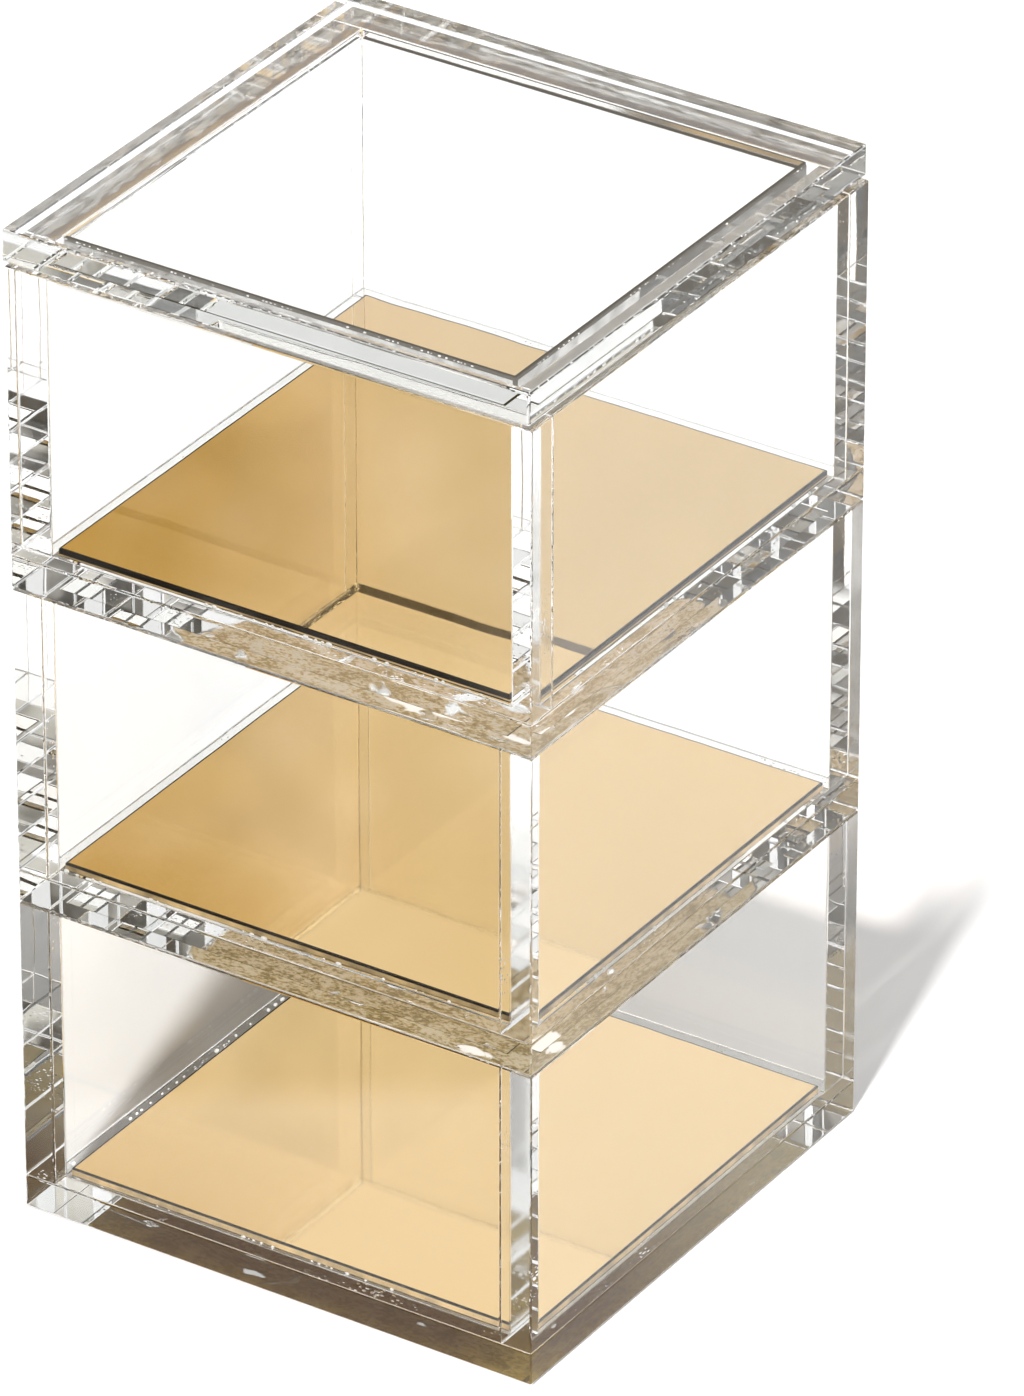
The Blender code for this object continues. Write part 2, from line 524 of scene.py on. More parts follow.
def gold_mirror(name, tone, haze):
    """Gold film under a clear sheet. Light that was already scattered meets it as plain gold paint."""
    material, tree, out = new_material(name)
    colour = tuple(part * tone for part in GOLD) + (1.0,)
    sheet = use_group(tree, polish, Size=45.0, Haze=haze, Seed=9.0)
    shader = add_node(
        tree,
        "ShaderNodeBsdfPrincipled",
        Base_Color=colour,
        Metallic=1.0,
        Roughness=sheet["Roughness"],
        Normal=bump(tree, sheet["Height"], ROLL_DEPTH),
        Coat_IOR=ACRYLIC_INDEX,
        Coat_Weight=1.0,
    )
    paint = add_node(tree, "ShaderNodeBsdfDiffuse", Color=colour)
    scattered = tree.nodes.new("ShaderNodeLightPath").outputs["Is Diffuse Ray"]
    surface = mix_shaders(tree, scattered, shader.outputs[0], paint.outputs[0])
    tree.links.new(surface, out.inputs["Surface"])
    return material


print("gold tint:", GOLD)

# %% [markdown]
# Sandy paint on the back protects the film. It shows as khaki through the edges of the floor plates,
# with white spots painted where air pockets would mirror bright light, and in the bottom tray with a
# painted glow that stands in for light the sheet guides in.

# %% Painted back of a mirror plate
SAND_PLACES = (0.36, 0.5, 0.64)
SAND_LEVEL, SAND_GRAIN = -0.8, 1.6
PAINTED_GLOW_SLOPE = (22.0, 0.33)
BRIGHT_SPOT_OVAL = 1.7
# The white of the painted spots, and the painted glow that lights them
PAINTED_SPOT_WHITE = (0.97, 0.97, 0.96)
PAINTED_SPOT_GLOW = (0.50, 0.52, 0.52)
BRIGHT_SPOT_EDGE = 1400.0
BRIGHT_SPOT_RAGGED = 0.012


def colour_ramp(tree, value, stops):
    """A ColorRamp's result; stops are (place, colour)."""
    ramp = add_node(tree, "ShaderNodeValToRGB", Fac=value)
    while len(ramp.color_ramp.elements) < len(stops):
        ramp.color_ramp.elements.new(0.5)
    for element, (at, colour) in zip(ramp.color_ramp.elements, stops):
        element.position = at
        element.color = (*colour, 1.0)
    return ramp.outputs[0]


def painted_back(name, tones, bright_spots, painted_glow):
    """Sandy paint in three tones, painted white spots at (x, y, reach), and a painted glow front and
    rear.
    """
    material, tree, out = new_material(name)
    place = object_place(tree)
    axes = split(tree, place)
    clouds = noise(tree, place, Scale=110.0, Detail=4.0, Roughness=0.6, Distortion=1.2)
    grain = noise(tree, place, Scale=1100.0, Detail=3.0, Roughness=0.7)
    mottle = maths(tree, "MULTIPLY_ADD", grain, SAND_GRAIN, maths(tree, "ADD", clouds, SAND_LEVEL))
    sand = colour_ramp(tree, mottle, list(zip(SAND_PLACES, tones)))
    # Painted white spots, standing in for bright reflections of air pockets under the mirror
    spots = []
    for x, y, reach in bright_spots:
        away = oval_distance(tree, axes, x, y, BRIGHT_SPOT_OVAL)
        away = maths(tree, "MULTIPLY_ADD", clouds, BRIGHT_SPOT_RAGGED, away)
        limit = BRIGHT_SPOT_EDGE * (reach + BRIGHT_SPOT_RAGGED / 2)
        spots.append(maths(tree, "MULTIPLY_ADD", away, -BRIGHT_SPOT_EDGE, limit, clamp=True))
    white = spots[0]
    for spot in spots[1:]:
        white = maths(tree, "MAXIMUM", white, spot)
    # A painted glow, stronger towards the rear, standing in for light guided in by the sheet
    rearward = maths(tree, "MULTIPLY_ADD", axes["Y"], *PAINTED_GLOW_SLOPE, clamp=True)
    glow = mix_colours(tree, rearward, *painted_glow)
    shader = add_node(
        tree,
        "ShaderNodeBsdfPrincipled",
        Base_Color=mix_colours(tree, white, sand, PAINTED_SPOT_WHITE),
        Roughness=0.5,
        Emission_Color=mix_colours(tree, white, glow, PAINTED_SPOT_GLOW),
        Emission_Strength=1.0,
    )
    tree.links.new(shader.outputs[0], out.inputs["Surface"])
    return material


print("smears are lit by", PAINTED_SPOT_GLOW)

# %% [markdown]
# The cut edge of a mirror plate is nearly black, since it shows the film from its side. A thin painted
# reflection of gold runs along it, a little ragged, and fades in and out.

# %% Cut edge of a mirror plate
EDGE_BLACK, EDGE_GOLD_REFLECTION = (0.010, 0.006, 0.003), (0.95, 0.68, 0.32)
LINE_WAVE = 0.16
LINE_SLOPE = -9.0
LINE_SHARE = (2.0, -0.3)


def mirror_edge(name, foot, thickness, slope, height, width):
    """The cut edge: nearly black, with a ragged painted gold reflection that may climb to the right."""
    material, tree, out = new_material(name)
    place = object_place(tree)
    axes = split(tree, place)
    streaks = noise(tree, place, Scale=150.0, Detail=4.0)
    rise = maths(tree, "MULTIPLY_ADD", axes["Z"], 1.0 / thickness, -foot / thickness)
    rise = maths(tree, "MULTIPLY_ADD", streaks, LINE_WAVE, maths(tree, "SUBTRACT", rise, LINE_WAVE / 2))
    middle = maths(tree, "MULTIPLY_ADD", axes["X"], slope, height)
    line = maths(tree, "ABSOLUTE", maths(tree, "SUBTRACT", rise, middle))
    line = maths(tree, "MULTIPLY_ADD", line, LINE_SLOPE, width, clamp=True)
    share = maths(tree, "MULTIPLY_ADD", streaks, *LINE_SHARE, clamp=True)
    shine = maths(tree, "MULTIPLY", line, share)
    shader = add_node(
        tree,
        "ShaderNodeBsdfPrincipled",
        Base_Color=colour_ramp(tree, shine, ((0.0, EDGE_BLACK), (1.0, EDGE_GOLD_REFLECTION))),
        Roughness=0.3,
        Specular_IOR_Level=0.03,
    )
    tree.links.new(shader.outputs[0], out.inputs["Surface"])
    return material


print("edge:", EDGE_BLACK, "to", EDGE_GOLD_REFLECTION)

# %% [markdown]
# The three mirror plates differ a little: in tone and haze, in the gold line on their edge, in the
# tones of their paint, and in their white spots. Their gold and paint tones are painted shade and light.

# %% The finishes of the three mirror plates
# Tone and haze of each gold film; the tone is painted shade, lowest on the top film
MIRROR_FINISH = {"bottom": (0.98, 0.09), "middle": (0.98, 0.08), "top": (0.93, 0.03)}
# Slope, height and width of the painted gold reflection on each edge
GOLD_LINES = {"bottom": (0.0, 0.47, 3.6), "middle": (0.0, 0.42, 3.2), "top": (1.6, 0.28, 1.3)}
# Dark, middle and light tone of the paint, with painted shade: darkest in the bottom tray, lightest in
# the top
SANDS = {
    "bottom": ((0.31, 0.22, 0.02), (0.52, 0.39, 0.06), (0.74, 0.59, 0.17)),
    "middle": ((0.40, 0.32, 0.13), (0.80, 0.69, 0.40), (0.98, 0.93, 0.74)),
    "top": ((0.50, 0.40, 0.20), (0.93, 0.80, 0.52), (0.99, 0.98, 0.90)),
}
NO_LIGHT = (0.0, 0.0, 0.0)
# A painted glow on the paint in front and behind, standing in for light reaching it through the sheet
PAINTED_GUIDED_GLOW = {
    "bottom": ((0.035, 0.013, 0.0), (0.17, 0.15, 0.11)),
    "middle": (NO_LIGHT, NO_LIGHT),
    "top": (NO_LIGHT, NO_LIGHT),
}
# Place and reach of each painted white spot
PAINTED_BRIGHT_SPOTS = {
    "bottom": ((-0.012, -0.030, 0.0015), (0.020, -0.026, 0.0010)),
    "middle": ((0.013, -0.024, 0.0060), (0.034, -0.033, 0.0030)),
    "top": ((0.021, -0.026, 0.0085), (0.040, -0.028, 0.0035), (-0.004, -0.027, 0.0030)),
}
TRAYS = ("bottom", "middle", "top")

mirrors, edges, backs = {}, {}, {}
for tray in TRAYS:
    low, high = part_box(tray + "_mirror_plate")
    mirrors[tray] = gold_mirror(tray + "_gold_mirror", *MIRROR_FINISH[tray])
    edges[tray] = mirror_edge(tray + "_mirror_edge", low.z, high.z - low.z, *GOLD_LINES[tray])
    backs[tray] = painted_back(tray + "_painted_back", SANDS[tray], PAINTED_BRIGHT_SPOTS[tray], PAINTED_GUIDED_GLOW[tray])
print("mirror finishes:", ", ".join(mirrors))

# %% [markdown]
# Every piece is a plate of cast sheet with polished edges. The helper takes a node's box from the
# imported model, so a plate lies where the model says, and rounds its edges. Faces that touch a
# neighbour are then cut out of the large ones, because a cemented face has a finish of its own.

# %% Cut one plate of sheet
EDGE_ROUND = 0.0003
LID_ROUND = 0.00045
MIRROR_ROUND = 0.0002
LOCATOR_ROUND = 0.0006
EDGE_STEPS = 3
FACE_ON = 0.99


def plate(node, cuts=(), rounding=EDGE_ROUND):
    """A closed plate on a node's box with rounded edges; cuts are (axis, place) of seams."""
    low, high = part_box(node)
    shape = bmesh.new()
    bmesh.ops.create_cube(shape, size=1.0)
    bmesh.ops.scale(shape, vec=high - low, verts=shape.verts)
    bmesh.ops.translate(shape, vec=(low + high) / 2, verts=shape.verts)
    bmesh.ops.bevel(
        shape, geom=shape.edges[:], offset=rounding, segments=EDGE_STEPS, profile=0.5, affect="EDGES"
    )
    for axis, at in cuts:
        point, normal = Vector((0.0, 0.0, 0.0)), Vector((0.0, 0.0, 0.0))
        point[axis], normal[axis] = at, 1.0
        everything = shape.verts[:] + shape.edges[:] + shape.faces[:]
        bmesh.ops.bisect_plane(shape, geom=everything, plane_co=point, plane_no=normal)
    return shape


def within(centre, low, high, inset=0.0):
    """Whether a point lies over a rectangle that is drawn in by an inset on every side."""
    return all(low[axis] + inset < centre[axis] < high[axis] - inset for axis in (0, 1))


def finish_plate(node, shape, finishes, choose, body):
    """Makes the plate an object in its node's place, on its body; choose gives each face its finish."""
    for face in shape.faces:
        face.material_index = finishes.index(choose(face.calc_center_median(), face.normal))
    bmesh.ops.recalc_face_normals(shape, faces=shape.faces)
    mesh = bpy.data.meshes.new(node)
    shape.to_mesh(mesh)
    shape.free()
    for finish in finishes:
        mesh.materials.append(finish)
    piece = bpy.data.objects.new(node, mesh)
    bpy.context.scene.collection.objects.link(piece)
    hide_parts(node)
    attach(piece, body)
    print(node, len(mesh.polygons), "faces")


# %% [markdown]
# The floor plates lie under everything else in their tray. Four seams on the top face mark the
# strip under the walls and the square under the mirror plate.


# %% Floor plates
def floor_plate(tray):
    node = tray + "_floor_plate"
    low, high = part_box(node)
    mirror_low, mirror_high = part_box(tray + "_mirror_plate")
    cuts = []
    for axis in (0, 1):
        cuts += [(axis, low[axis] + WALL), (axis, high[axis] - WALL)]
        cuts += [(axis, mirror_low[axis]), (axis, mirror_high[axis])]
    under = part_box(tray + "_locating_plate") if tray != "bottom" else None
    if under:
        cuts += [(axis, corner[axis]) for axis in (0, 1) for corner in under]

    def choose(centre, normal):
        if normal.z > FACE_ON:
            if within(centre, mirror_low, mirror_high):
                return beds[tray]
            return clear if within(centre, low, high, WALL) else cemented
        if normal.z < -FACE_ON:
            if not under:
                return clear
            return cemented if within(centre, *under) else glowing_underside
        return plate_edge

    finishes = [clear, cemented, beds[tray], glowing_underside, plate_edge]
    finish_plate(node, plate(node, cuts), finishes, choose, tray + "_tray")


for tray in TRAYS:
    floor_plate(tray)

# %% [markdown]
# The walls stand on the floor plate and meet in butt joints. One pair of each tray runs the full
# width, and the other fits between it, so a joint shows as an upright line one sheet from the corner.

# %% Walls
SIDES = {"front": (1, -1), "rear": (1, 1), "left": (0, -1), "right": (0, 1)}
TOP_RIMS = {"front": wall_end, "rear": golden_top, "left": golden_top, "right": wall_top}
SLOPED = 0.1


def wall(tray, side):
    node = tray + "_" + side + "_wall"
    low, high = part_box(node)
    across, outward = SIDES[side]
    along = 1 - across
    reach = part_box(tray + "_floor_plate")[1][along]
    full_width = high[along] > reach - WALL / 2
    cuts = [(along, reach - WALL), (along, WALL - reach)] if full_width else []
    rim = TOP_RIMS[side] if tray == "top" else wall_top

    def choose(centre, normal):
        if abs(normal.z) > FACE_ON:
            return cemented if normal.z < 0 else rim
        inward = -normal[across] * outward
        if (tray, side) == ("bottom", "left") and normal.z < -SLOPED and inward > SLOPED:
            return seam_line
        if abs(normal[along]) > FACE_ON:
            if not full_width:
                return cemented
            cloudy = side == "right" or ((tray, side) == ("top", "front") and normal.x > 0)
            return cloudy_end if cloudy else wall_end
        if full_width and inward > FACE_ON and abs(centre[along]) > reach - WALL:
            return cemented
        return clear

    finishes = [clear, cemented, wall_end, rim, cloudy_end, seam_line]
    finish_plate(node, plate(node, cuts), finishes, choose, tray + "_tray")


for tray in TRAYS:
    for side in SIDES:
        wall(tray, side)

# %% [markdown]
# Locating plates hang under the upper trays and the lid. Their top faces are cemented, and a dark
# line runs round them, where the cement meets their edge. Round the lid's plate that line is painted
# shade.


# %% Locating plates and lid
def locating_face(centre, normal):
    if abs(normal.z) > FACE_ON:
        return well_cemented if normal.z > 0 else glowing_underside
    return clear if max(abs(normal.x), abs(normal.y)) > FACE_ON else seam_line


def lid_locating_face(centre, normal):
    """The rounding gets painted shade, except on the left; the rear side gets more than the other three.
    """
    if abs(normal.z) > FACE_ON:
        return well_cemented if normal.z > 0 else clear
    if max(abs(normal.x), abs(normal.y)) > FACE_ON:
        return locator_rear if normal.y > FACE_ON else locator_side
    return clear if normal.x < -SLOPED else lid_seam


for tray in ("middle", "top"):
    node = tray + "_locating_plate"
    finishes = [clear, well_cemented, glowing_underside, seam_line]
    finish_plate(node, plate(node), finishes, locating_face, tray + "_tray")

shape = plate("lid_locating_plate", (), LOCATOR_ROUND)
finishes = [clear, well_cemented, locator_side, locator_rear, lid_seam]
finish_plate("lid_locating_plate", shape, finishes, lid_locating_face, "lid")

lid_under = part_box("lid_locating_plate")
lid_cuts = [(axis, corner[axis]) for axis in (0, 1) for corner in lid_under]


def lid_face(centre, normal):
    if abs(normal.z) < FACE_ON:
        return plate_edge if max(abs(normal.x), abs(normal.y)) > FACE_ON else clear
    return well_cemented if normal.z < 0 and within(centre, *lid_under) else clear


shape = plate("lid_plate", lid_cuts, LID_ROUND)
finish_plate("lid_plate", shape, [clear, well_cemented, plate_edge], lid_face, "lid")

# %% [markdown]
# The mirror plates lie on the floor plates, a little clear of the walls. The film stops just short
# of the cut edge, which leaves a thin dark rim round the gold.

# %% Mirror plates
MIRROR_RIM = 0.0004

for tray in TRAYS:
    node = tray + "_mirror_plate"
    low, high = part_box(node)
    cuts = []
    for axis in (0, 1):
        cuts += [(axis, low[axis] + MIRROR_RIM), (axis, high[axis] - MIRROR_RIM)]

    def mirror_face(centre, normal):
        if normal.z < -FACE_ON:
            return backs[tray]
        gold = normal.z > FACE_ON and within(centre, low, high, MIRROR_RIM)
        return mirrors[tray] if gold else edges[tray]

    shape = plate(node, cuts, MIRROR_ROUND)
    finishes = [mirrors[tray], backs[tray], edges[tray]]
    finish_plate(node, shape, finishes, mirror_face, tray + "_tray")

# %% [markdown]
# Cement squeezes out along a seam in tiny clear drops. A Geometry Nodes tree walks along the seam
# lines, sets a bead, stretched along its seam, at some of the points, and turns each bead along its
# seam.
# Its named inputs let each seam choose how many beads it gets, and how large.

# %% Inputs of a tree that beads a seam
BEAD_INPUTS = {"Spacing": 0.0013, "Share": 0.25, "Least": 0.00013, "Largest": 0.00034, "Stretch": 2.2}
SHAKE = (0.0004, 0.0004, 0.0)
BEAD_CROWDING = (3.0, -1.5)
MOSTLY_SMALL = 1.4

beads = bpy.data.node_groups.new("cement_beads", "GeometryNodeTree")
beads.interface.new_socket("Seams", in_out="INPUT", socket_type="NodeSocketGeometry")
for label, default in BEAD_INPUTS.items():
    socket = beads.interface.new_socket(label, in_out="INPUT", socket_type="NodeSocketFloat")
    socket.default_value = default
beads.interface.new_socket("Seed", in_out="INPUT", socket_type="NodeSocketInt").default_value = 1
beads.interface.new_socket("Finish", in_out="INPUT", socket_type="NodeSocketMaterial")
beads.interface.new_socket("Beads", in_out="OUTPUT", socket_type="NodeSocketGeometry")
given = beads.nodes.new("NodeGroupInput").outputs


def random_value(kind, low, high, seed):
    """A Random Value node's result; kind 0 is a vector and kind 1 a number, like its sockets."""
    seed = maths(beads, "ADD", given["Seed"], float(seed))
    data_type = ("FLOAT_VECTOR", "FLOAT")[kind]
    node = add_node(beads, "FunctionNodeRandomValue", data_type=data_type, Seed=seed)
    for socket, value in zip((node.inputs[2 * kind], node.inputs[2 * kind + 1]), (low, high)):
        if isinstance(value, bpy.types.NodeSocket):
            beads.links.new(value, socket)
        else:
            socket.default_value = value
    return node.outputs[kind]


print("bead inputs:", ", ".join(BEAD_INPUTS))

# %% [markdown]
# The seam lines become curves with evenly spaced points. Each point is then shaken along its line,
# and a slow noise decides where the beads crowd and where there are few.

# %% Points along a seam
lines = add_node(beads, "GeometryNodeMeshToCurve", Mesh=given["Seams"])
steps = add_node(
    beads,
    "GeometryNodeResampleCurve",
    mode="LENGTH",
    Curve=lines.outputs["Curve"],
    Length=given["Spacing"],
)
along = beads.nodes.new("GeometryNodeInputTangent").outputs["Tangent"]
keep_line = add_node(beads, "ShaderNodeVectorMath", operation="PROJECT")
beads.links.new(random_value(0, tuple(-part for part in SHAKE), SHAKE, 1), keep_line.inputs[0])
beads.links.new(along, keep_line.inputs[1])
jitter = add_node(
    beads, "GeometryNodeSetPosition", Geometry=steps.outputs["Curve"], Offset=keep_line.outputs["Vector"]
)

crowd = add_node(beads, "ShaderNodeTexNoise", Scale=90.0, Detail=1.0)
chance = maths(beads, "MULTIPLY_ADD", crowd.outputs[0], *BEAD_CROWDING)
chance = maths(beads, "ADD", chance, given["Share"])
chosen = maths(beads, "GREATER_THAN", chance, random_value(1, 0.0, 1.0, 2))
print("points: every", BEAD_INPUTS["Spacing"], "m")

# %% [markdown]
# Most beads are small and a few are large, which a power of an even random number gives. A bead is
# longer along its seam than across it.

# %% Size and turn of a bead
girth = maths(beads, "POWER", random_value(1, 0.0, 1.0, 3), MOSTLY_SMALL)
span = maths(beads, "SUBTRACT", given["Largest"], given["Least"])
girth = maths(beads, "MULTIPLY_ADD", girth, span, given["Least"])
length = maths(beads, "MULTIPLY", girth, random_value(1, 1.0, given["Stretch"], 4))
size = add_node(beads, "ShaderNodeCombineXYZ", X=length, Y=girth, Z=girth)
turn = add_node(beads, "FunctionNodeAlignRotationToVector", axis="X", Vector=along)
print("girths:", BEAD_INPUTS["Least"], "to", BEAD_INPUTS["Largest"], "m")

# %% [markdown]
# One low sphere is set at every chosen point, and the instances become real faces at the end.

# %% Beads as one mesh
drop = add_node(beads, "GeometryNodeMeshUVSphere", Segments=8, Rings=5, Radius=1.0)
smooth = add_node(beads, "GeometryNodeSetShadeSmooth", Geometry=drop.outputs["Mesh"])
scatter = add_node(
    beads,
    "GeometryNodeInstanceOnPoints",
    Points=jitter.outputs["Geometry"],
    Selection=chosen,
    Instance=smooth.outputs["Geometry"],
    Rotation=turn.outputs["Rotation"],
    Scale=size.outputs["Vector"],
)
real = add_node(beads, "GeometryNodeRealizeInstances", Geometry=scatter.outputs["Instances"])
finish = add_node(
    beads, "GeometryNodeSetMaterial", Geometry=real.outputs["Geometry"], Material=given["Finish"]
)
group_out = beads.nodes.new("NodeGroupOutput")
beads.links.new(finish.outputs["Geometry"], group_out.inputs["Beads"])
print("bead tree:", len(beads.nodes), "nodes")

# %% [markdown]
# Each tray gets its beads in the narrow channel between its mirror plate and its walls, and the lid
# gets them round its locating plate. White specks also lie along the bottom tray's left seam, with a
# painted glow for the bright light they mirror. The tree's result becomes one plain mesh for each body.

# %% Beads in the trays and under the lid
CHANNEL_BEAD = 0.00034
LID_BEAD = 0.00018
SPECK_LIFT = 0.0001
SPECKS = {"Least": 0.00014, "Largest": 0.00034, "Spacing": 0.0020, "Share": 0.5}
LID_BEADS = {"Least": 0.00008, "Largest": 0.00017, "Spacing": 0.0008}

# Painted glow on the white specks, standing in for the bright light they mirror
glowing_white_speck, tree, out = new_material("glowing_white_speck")
shader = add_node(
    tree,
    "ShaderNodeBsdfPrincipled",
    Base_Color=(0.94, 0.94, 0.92, 1.0),
    Roughness=0.4,
    Emission_Color=(0.75, 0.75, 0.73, 1.0),
    Emission_Strength=1.0,
)
tree.links.new(shader.outputs[0], out.inputs["Surface"])


def bead_seams(name, low, high, height, sides, body, **values):
    """Beads along the named sides of a rectangle from low to high, as a plain mesh on a body."""
    ends = {
        "front": ((low[0], low[1]), (high[0], low[1])),
        "rear": ((low[0], high[1]), (high[0], high[1])),
        "left": ((low[0], low[1]), (low[0], high[1])),
        "right": ((high[0], low[1]), (high[0], high[1])),
    }
    points = [(x, y, height) for side in sides for x, y in ends[side]]
    mesh = bpy.data.meshes.new(name + "_seams")
    mesh.from_pydata(points, [(2 * i, 2 * i + 1) for i in range(len(sides))], [])
    piece = bpy.data.objects.new(name, mesh)
    bpy.context.scene.collection.objects.link(piece)
    modifier = piece.modifiers.new("cement_beads", "NODES")
    modifier.node_group = beads
    values.setdefault("Finish", cured_cement)
    for item in beads.interface.items_tree:
        if item.in_out == "INPUT" and item.name in values:
            modifier[item.identifier] = values[item.name]
    evaluated = piece.evaluated_get(bpy.context.evaluated_depsgraph_get())
    piece.data = bpy.data.meshes.new_from_object(evaluated)
    piece.modifiers.remove(modifier)
    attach(piece, body)
    print(name, len(piece.data.polygons), "faces")


for seed, tray in enumerate(TRAYS, start=1):
    floor_low, floor_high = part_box(tray + "_floor_plate")
    low = [floor_low[axis] + WALL + CHANNEL_BEAD for axis in (0, 1)]
    high = [floor_high[axis] - WALL - CHANNEL_BEAD for axis in (0, 1)]
    foot = floor_high.z + CHANNEL_BEAD
    bead_seams(tray + "_cement_beads", low, high, foot, SIDES, tray + "_tray", Seed=seed)
    if tray == "bottom":
        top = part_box("bottom_mirror_plate")[1].z + SPECK_LIFT
        choice = {"Seed": 7, "Finish": glowing_white_speck, **SPECKS}
        bead_seams("bottom_seam_specks", low, high, top, ("left",), "bottom_tray", **choice)

low = [lid_under[0][axis] - LID_BEAD for axis in (0, 1)]
high = [lid_under[1][axis] + LID_BEAD for axis in (0, 1)]
head = lid_under[1].z - LID_BEAD
bead_seams("lid_cement_beads", low, high, head, ("front", "rear", "right"), "lid", Seed=4, **LID_BEADS)

# %% [markdown]
# The stage is a wide white floor under a white world. Camera, gloss and transmission rays see plain
# white there. Scattered light comes mostly from the right, and one lamp casts the shadow.

# %% Floor
FLOOR_DROP = 0.0003
FLOOR_REACH = 8.0
FLOOR_LIFT = 0.06

floor_mesh = bpy.data.meshes.new("studio_floor")
quarters = ((-1, -1), (1, -1), (1, 1), (-1, 1))
corners = [(x * FLOOR_REACH, y * FLOOR_REACH, -FLOOR_DROP) for x, y in quarters]
floor_mesh.from_pydata(corners, [], [(0, 1, 2, 3)])
studio_floor = bpy.data.objects.new("studio_floor", floor_mesh)
scene.collection.objects.link(studio_floor)


def seen_directly(tree):
    """1 for rays that show a thing to the camera, and 0 for those that only carry its light."""
    rays = tree.nodes.new("ShaderNodeLightPath").outputs
    seen = maths(tree, "MAXIMUM", rays["Is Camera Ray"], rays["Is Glossy Ray"])
    return maths(tree, "MAXIMUM", seen, rays["Is Transmission Ray"])


floor_finish, tree, out = new_material("white_floor")
matt = add_node(tree, "ShaderNodeBsdfDiffuse", Color=(0.9, 0.9, 0.9, 1.0))
strength = maths(tree, "MULTIPLY", seen_directly(tree), FLOOR_LIFT)
lift = add_node(tree, "ShaderNodeEmission", Color=(1.0, 1.0, 1.0, 1.0), Strength=strength)
both = tree.nodes.new("ShaderNodeAddShader")
tree.links.new(matt.outputs[0], both.inputs[0])
tree.links.new(lift.outputs[0], both.inputs[1])
tree.links.new(both.outputs[0], out.inputs["Surface"])
floor_mesh.materials.append(floor_finish)
print("floor:", 2 * FLOOR_REACH, "m wide")

# %% [markdown]
# The world is plain white to the eye, but it lights the object more from the right. The lamp is a
# small distant one, so that its shadow on the floor has a firm border.

# %% World and lamp
FILL_ALL_ROUND = 0.16
FILL_FROM_RIGHT = 1.8
FILL_TOWARD = toward(85.0, 55.0)
FILL_CORE, FILL_RIM = math.radians(10.0), math.radians(45.0)
KEY_FROM = Vector((0.021, -0.090, 0.186))
KEY_STRENGTH = 2.8
KEY_SPREAD = 2.6

world = bpy.data.worlds.new("studio")
scene.world = world
world.use_nodes = True
tree = world.node_tree
tree.nodes.clear()
near_fill = add_node(tree, "ShaderNodeVectorMath", operation="DOT_PRODUCT")
tree.links.new(tree.nodes.new("ShaderNodeTexCoord").outputs["Generated"], near_fill.inputs[0])
near_fill.inputs[1].default_value = FILL_TOWARD
share = add_node(
    tree,
    "ShaderNodeMapRange",
    interpolation_type="SMOOTHSTEP",
    Value=near_fill.outputs["Value"],
    From_Min=math.cos(FILL_RIM),
    From_Max=math.cos(FILL_CORE),
)
fill = maths(tree, "MULTIPLY_ADD", share.outputs[0], FILL_FROM_RIGHT, FILL_ALL_ROUND)
strength = maths(tree, "MAXIMUM", seen_directly(tree), fill)
sky = add_node(tree, "ShaderNodeBackground", Color=(1.0, 1.0, 1.0, 1.0), Strength=strength)
out = tree.nodes.new("ShaderNodeOutputWorld")
tree.links.new(sky.outputs[0], out.inputs["Surface"])

key = bpy.data.objects.new("key_lamp", bpy.data.lights.new("key_lamp", "SUN"))
key.data.energy = KEY_STRENGTH
key.data.angle = math.radians(KEY_SPREAD)
key.rotation_euler = KEY_FROM.to_track_quat("Z", "Y").to_euler()
key.visible_glossy = False
key.visible_transmission = False
scene.collection.objects.link(key)
print("lamp strength:", KEY_STRENGTH)

# %% [markdown]
# A photographer stands grey flags beside clear acrylic, outside the picture, and its thick edges
# show them as dark patches between white ones. A tinted card deepens the gold towards the left.

# %% Flags and a card that only clear edges and mirrors show
DEEP_IN_STACK = 3.5
CORNERS = ((0, 0), (1, 0), (1, 1), (0, 1))


def fade(tree, value, before, after):
    """Rises from 0 to 1 over the first share of a card's side and falls again over the last."""
    start = maths(tree, "DIVIDE", value, before, clamp=True)
    end = maths(tree, "DIVIDE", maths(tree, "SUBTRACT", 1.0, value), after, clamp=True)
    return maths(tree, "MULTIPLY", start, end)


def card_material(name, stops, softness, clouds, lean, in_gold):
    """A glowing card with soft borders; stops are (place, colour) along a mix of side and clouds.

    A card for the gold shows only deep in the stack. A flag shows only to light that turned inside
    a sheet, so nobody sees it by looking straight through a wall.
    """
    material, tree, out = new_material(name)
    texture = tree.nodes.new("ShaderNodeTexCoord").outputs
    axes = split(tree, texture["UV"])
    rays = tree.nodes.new("ShaderNodeLightPath").outputs
    shown = maths(tree, "GREATER_THAN", rays["Transmission Depth"], DEEP_IN_STACK)
    if not in_gold:
        once, twice = (
            maths(tree, "GREATER_THAN", rays["Glossy Depth"], turns)
            for turns in (TURNED_ONCE, TURNED_TWICE)
        )
        shallow = maths(tree, "MULTIPLY", maths(tree, "SUBTRACT", 1.0, shown), once)
        shown = maths(tree, "MAXIMUM", shallow, twice)
    for axis, (before, after) in zip("XY", softness):
        shown = maths(tree, "MULTIPLY", shown, fade(tree, axes[axis], before, after))
    cloud = noise(tree, texture["Object"], Scale=45.0, Detail=1.0)
    mixed = maths(tree, "MULTIPLY_ADD", cloud, clouds, lean[0] - clouds / 2)
    mixed = maths(tree, "MULTIPLY_ADD", axes["X"], lean[1], mixed)
    glow = add_node(tree, "ShaderNodeEmission", Color=colour_ramp(tree, mixed, stops))
    nothing = tree.nodes.new("ShaderNodeBsdfTransparent")
    tree.links.new(mix_shaders(tree, shown, nothing.outputs[0], glow.outputs[0]), out.inputs["Surface"])
    material.cycles.emission_sampling = "NONE"
    return material


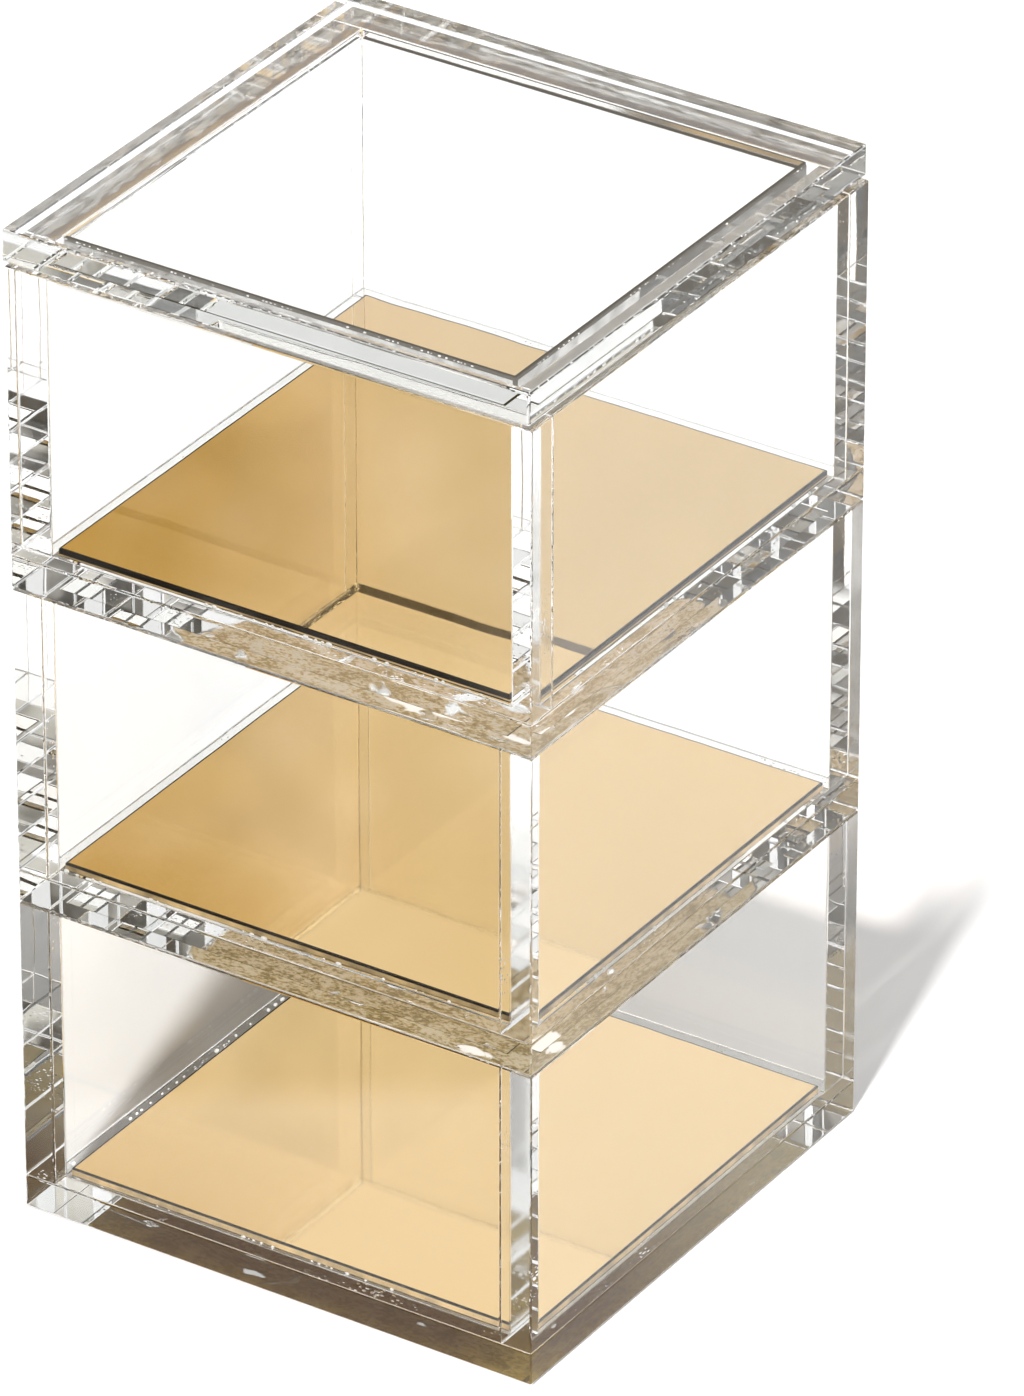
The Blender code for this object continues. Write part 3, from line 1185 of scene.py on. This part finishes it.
def hang_card(name, direction, distance, across, up, material):
    """Hangs a card square to a direction; across and up are its borders, in metres from the axis."""
    side = Vector((-direction.y, direction.x, 0.0)).normalized()
    rise = direction.cross(side)
    middle = distance * direction
    mesh = bpy.data.meshes.new(name)
    spots = [middle + side * across[i] + rise * up[j] for i, j in CORNERS]
    mesh.from_pydata(spots, [], [(0, 1, 2, 3)])
    grid = mesh.uv_layers.new(name="card")
    for loop, corner in zip(grid.data, CORNERS):
        loop.uv = corner
    mesh.materials.append(material)
    card = bpy.data.objects.new(name, mesh)
    scene.collection.objects.link(card)
    card.visible_camera = card.visible_diffuse = card.visible_shadow = False
    print(name, "at", [round(v, 3) for v in middle])


DARK_GREYS = ((0.0, (0.015, 0.013, 0.010)), (0.5, (0.11, 0.10, 0.085)), (1.0, (0.80, 0.77, 0.70)))
GREYS = ((0.0, (0.02, 0.018, 0.014)), (0.5, (0.15, 0.14, 0.12)), (1.0, (0.80, 0.77, 0.70)))
GOLD_SWEEP = (
    (0.25, (0.88, 0.87, 0.84)),
    (0.42, (0.97, 0.95, 0.91)),
    (0.575, (0.97, 0.88, 0.75)),
    (0.70, (0.72, 0.59, 0.32)),
    (0.815, (0.62, 0.45, 0.08)),
)

# Name, colours, softness, clouds, lean and whether it is for the gold
LOOKS = (
    ("rear_flag", DARK_GREYS, ((0.12, 0.12), (0.1, 0.13)), 3.0, (1.08, -1.2), False),
    ("front_flag", GREYS, ((0.1, 0.1), (0.01, 0.1)), 2.6, (0.1, 0.6), False),
    ("gold_card", GOLD_SWEEP, ((0.1, 0.15), (0.54, 0.2)), 0.0, (0.0, 1.0), True),
)
# Azimuth and elevation, distance, then the borders across and up
PLACES = (
    ((146.6, 30.2), 0.55, (0.008, 0.110), (-0.08, 0.155)),
    ((326.6, 0.0), 0.10, (-0.13, 0.085), (0.0, 0.36)),
    ((213.4, 30.2), 0.55, (-0.090, 0.110), (0.008, 0.150)),
)
for (name, *finish), (angles, *spot) in zip(LOOKS, PLACES):
    hang_card(name, toward(*angles), *spot, card_material(name, *finish))
